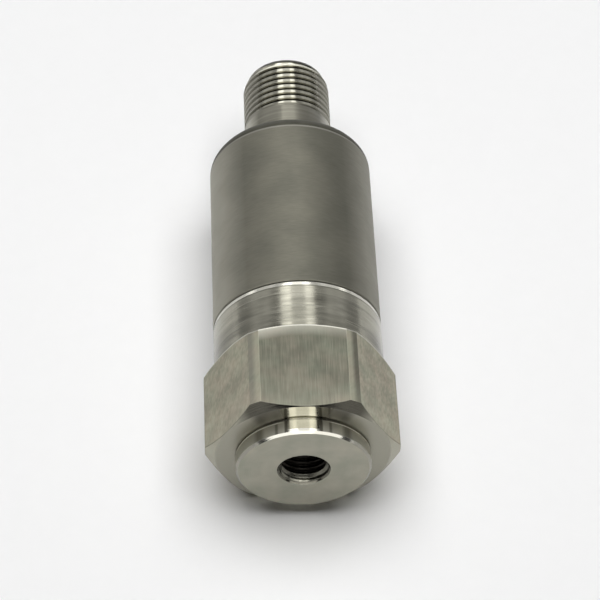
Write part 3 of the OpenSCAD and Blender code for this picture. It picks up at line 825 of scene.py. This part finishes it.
hold_radius(plug_mesh, thread_floor, plug_edge)
trim(plug_mesh, collar_end, plug_end)
inside = draw_on(plug_mesh, rim(plug_mesh, plug_end), [
    (socket_r + socket_edge, plug_end), (socket_r, plug_end - socket_edge)])
undercut_r = plug_r - undercut_depth
outside = draw_on(plug_mesh, rim(plug_mesh, collar_end), [
    (plug_r, sleeve_end + undercut_l), (undercut_r, sleeve_end + undercut_l),
    (undercut_r, sleeve_end), (plug_r, sleeve_end), (plug_r, groove + groove_l),
    (groove_r, groove + groove_l), (groove_r, groove), (plug_r, groove), (plug_r, roof),
    (flange_r, roof), (flange_r, flange), (carrier_collar_r, flange),
    (carrier_collar_r, flange + carrier_step), (socket_r, flange + carrier_step)])
bmesh.ops.bridge_loops(plug_mesh, edges=inside + outside)
plug = close_up(plug_mesh, "plug_threaded", plug_steel, sharp_over)
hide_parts("plug_shell")

# %% [markdown]
# ## The mounting thread
# The hole in the mounting face is tapped for a quarter inch stud with 28 turns to the inch. The
# solid's hole is plain, at the thread's widest, so a thin threaded lining goes into it: the same
# helix, pointing inwards, cut back by the countersink at the mouth and closed behind by a plain wall.

# %% Tap the mounting hole
stud_pitch = 25.4 / 28 * mm
stud_shares = 0.24, 0.16, 0.3
hole_r = 3.175 * mm
lining_gap = 0.005 * mm
lining_wall = 0.03 * mm
stud_thread_h = 0.425 * mm
countersink = 0.2 * mm
lining_from, lining_to = 0.22 * mm, 8.4 * mm
deep_from, deep_to = 0.7 * mm, 1.6 * mm
torn_w, torn_drift, torn_depth, torn_edge = (d * mm for d in (0.1, 0.6, 0.004, 0.1))

# A tap tears steel more than it cuts it, so the hole glints at its mouth, and deeper in its colour is
# painted shade.
tapped_steel, tree, shader = finish("stainless_steel_tapped_painted_shade", Metallic=1)
# Deeper in the hole the colour runs to painted shade.
tone = painted(tree, fade(tree, where(tree)[0], deep_from, deep_to),
               stained(tree, "#7d7b71", "#5b5a51", 1 * mm), "#211f1c")
tree.links.new(tone, shader.inputs["Base Color"])
torn = lathe_lines(tree, torn_w, torn_drift)
tree.links.new(spread(tree, torn, 0.16, 0.3), shader.inputs["Roughness"])
relief(tree, shader, torn, torn_depth, edge=torn_edge)

lining_r = hole_r - lining_gap
lining_root = lining_r - lining_wall
lining_mesh = screw_thread(stud_pitch, stud_shares, lining_root, hole_r - stud_thread_h, lining_from,
                           lining_to)
hold_radius(lining_mesh,
            lambda y: max(hole_r + countersink - y, hole_r + y - lining_to - lining_wall),
            lambda y: lining_root)
trim(lining_mesh, lining_from, lining_to)
mouth = draw_on(lining_mesh, rim(lining_mesh, lining_from), [(lining_r, lining_from)])
back = draw_on(lining_mesh, rim(lining_mesh, lining_to), [(lining_r, lining_to)])
bmesh.ops.bridge_loops(lining_mesh, edges=mouth + back)
lining = close_up(lining_mesh, "mounting_thread", tapped_steel, sharp_over)

# %% [markdown]
# ## Inside the plug
# Four gilded pins stand in a black insulator with a coding key, and a rubber ring seals the plug in
# the sleeve. Moulded plastic and rubber take the fine roughness of their moulds, so one function
# makes such finishes: two close colours in patches, and an even texture that sets the gloss and the
# relief. The gold is a thin bright layer over turned brass.

# %% Finish the contacts and the seal


def even(name, clean, dull, texture_w, low, high, depth, **constants):
    """A finish of two close colours with an even texture. low and high limit its roughness."""
    material, tree, shader = finish(name, **constants)
    tree.links.new(stained(tree, clean, dull, 6 * texture_w), shader.inputs["Base Color"])
    texture = grain(tree, (texture_w, texture_w, texture_w))
    tree.links.new(spread(tree, texture, low, high), shader.inputs["Roughness"])
    relief(tree, shader, texture, depth)
    return material, tree, shader


# Glass-filled nylon looks nearly black, with the dull sheen of a spark-eroded mould.
carrier_plastic, *_ = even("glass_filled_nylon_moulded", "#1b1b1c", "#232324", 0.08 * mm,
                           0.45, 0.6, 0.008 * mm, IOR=1.53)
dress(carrier_plastic, "contact_carrier")

# Rubber is as dark, and softer to the eye, because it hardly mirrors anything.
seal_rubber, *_ = even("nitrile_rubber_moulded", "#191918", "#211f1e", 0.1 * mm,
                       0.6, 0.75, 0.006 * mm, IOR=1.52)
dress(seal_rubber, "plug_seal")

# Gold over turned brass shows fine hoops and a warm, clear highlight.
pin_gold, tree, shader = finish("gold_plated_brass_turned", Metallic=1)
tree.links.new(stained(tree, "#e0bd6a", "#d2ab55", 1 * mm), shader.inputs["Base Color"])
drawn = lathe_lines(tree, 0.05 * mm, 1 * mm)
tree.links.new(spread(tree, drawn, 0.16, 0.28), shader.inputs["Roughness"])
relief(tree, shader, drawn, 0.001 * mm)
dress(pin_gold, *(f"contact_pin_{i}" for i in range(1, 5)))

# %% [markdown]
# ## Inside the sleeve
# Nothing of this shows while the sensor is closed, but a reader may open it. The three boards are
# glass laminate under green solder mask, and the weave shows through as a low relief. The cradle
# that holds them is milky nylon, and a rolled amber film keeps them from touching the sleeve.

# %% Finish the boards and what holds them
weave_w = 0.5 * mm

board_laminate, tree, shader = finish("solder_mask_on_glass_laminate", IOR=1.55)
tree.links.new(stained(tree, "#1f5c3a", "#1a5033", 2 * mm), shader.inputs["Base Color"])
place = put(tree, "ShaderNodeTexCoord").outputs["Object"]
weave = grain(tree, (weave_w, weave_w, weave_w))
for direction in "XYZ":
    yarn = put(tree, "ShaderNodeTexWave", {"Vector": place, "Scale": math.tau / 20 / weave_w},
               bands_direction=direction)
    weave = put(tree, "ShaderNodeMath", {0: yarn.outputs["Fac"], 1: 0.25, 2: weave},
                operation="MULTIPLY_ADD").outputs[0]
tree.links.new(spread(tree, weave, 0.22, 0.3), shader.inputs["Roughness"])
relief(tree, shader, weave, 0.006 * mm)
dress(board_laminate, "contact_board", "main_board", "sensor_board")

# Unfilled nylon is milky: light goes a little way in, which softens its edges.
cradle_plastic, *_ = even("natural_nylon_moulded", "#e0dac6", "#d5ceb8", 0.1 * mm,
                          0.4, 0.52, 0.006 * mm, IOR=1.53, Subsurface_Weight=0.15,
                          Subsurface_Scale=1 * mm)
dress(cradle_plastic, "board_cradle")

# Polyimide film is glossy and amber, with faint waves from rolling.
liner_film, *_ = even("polyimide_film_rolled", "#b67a2b", "#a86d22", 1.2 * mm,
                      0.12, 0.2, 0.01 * mm, IOR=1.7)
dress(liner_film, "liner")

# Zinc over steel is a cool grey with a dull shine.
screw_steel, *_ = even("zinc_plated_steel_headed", "#bfc3c5", "#b0b4b7", 0.15 * mm,
                       0.28, 0.4, 0.003 * mm, Metallic=1)
dress(screw_steel, "board_screws")

# %% [markdown]
# ## The parts on the boards
# The sensing element and the clock crystal sit in nickel cans. The other parts are moulded or fired
# bodies with tinned ends, and the coil is copper wire on a ferrite core. A mask by place turns part
# of a finish into metal: the leads lie against the board, the winding between the flanges, and a
# ceramic chip is tinned at both ends.

# %% Finish the parts
lead_top = 0.7 * mm
coil_flange = 0.6 * mm
chip_end = 0.35 * mm


def partly_metal(tree, shader, mask, colour, roughness):
    """Turns a finish into metal where the mask is 1."""
    for socket, metal, kind in (("Base Color", linear(colour), "RGBA"),
                                ("Roughness", roughness, "FLOAT")):
        under = shader.inputs[socket].links[0].from_socket
        tree.links.new(either(tree, mask, under, metal, kind), shader.inputs[socket])
    tree.links.new(mask, shader.inputs["Metallic"])


def height(tree):
    """A point's height over the middle of the upright board, which lies flat here."""
    place = put(tree, "ShaderNodeTexCoord").outputs["Object"]
    return put(tree, "ShaderNodeSeparateXYZ", {"Vector": place}).outputs["Z"]


# Nickel is a warm pale metal, here with the dull spots of a pressed and plated sheet.
can_nickel, *_ = even("nickel_plated_steel_pressed", "#cfcabc", "#c3beaf", 0.2 * mm,
                      0.2, 0.32, 0.003 * mm, Metallic=1)
dress(can_nickel, "sensing_element", "clock_crystal")

# Moulded epoxy is a flat black, and its tinned leads stand out from it.
chip_resin, tree, shader = even("filled_epoxy_moulded", "#1d1d1e", "#252526", 0.06 * mm,
                                0.5, 0.65, 0.006 * mm, IOR=1.55)
partly_metal(tree, shader, between(tree, height(tree), -lead_top, lead_top), "#cdccc6", 0.3)
dress(chip_resin, "processor_chip", "loop_driver", "surge_diodes")

# The same resin with an orange pigment is the mark of a tantalum capacitor.
tantalum_resin, tree, shader = even("orange_epoxy_moulded", "#c98430", "#bd7826", 0.06 * mm,
                                    0.4, 0.55, 0.006 * mm, IOR=1.55)
partly_metal(tree, shader, between(tree, height(tree), -lead_top, lead_top), "#cdccc6", 0.3)
dress(tantalum_resin, "storage_capacitor")

# Sintered ferrite is a matt dark grey, and enamelled copper shines red-brown between its flanges.
coil_ferrite, tree, shader = even("ferrite_sintered_and_wound", "#3a3837", "#312f2e", 0.1 * mm,
                                  0.55, 0.7, 0.006 * mm, IOR=2.0)
coil_low, coil_high = (corner.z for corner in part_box("power_coil"))
partly_metal(tree, shader, between(tree, height(tree), coil_low + coil_flange,
                                   coil_high - coil_flange), "#b4673a", 0.25)
dress(coil_ferrite, "power_coil")

# Fired ceramic is a soft tan with an eggshell gloss.
chip_ceramic, tree, shader = even("barium_titanate_fired", "#a8926f", "#9c8664", 0.08 * mm,
                                  0.4, 0.5, 0.003 * mm, IOR=2.0)
chip_low, chip_high = (corner.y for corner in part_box("chip_capacitors"))
body = between(tree, where(tree)[0], chip_low + chip_end, chip_high - chip_end)
tinned = put(tree, "ShaderNodeMath", {0: 1.0, 1: body}, operation="SUBTRACT").outputs[0]
partly_metal(tree, shader, tinned, "#cdccc6", 0.3)
dress(chip_ceramic, "chip_capacitors")
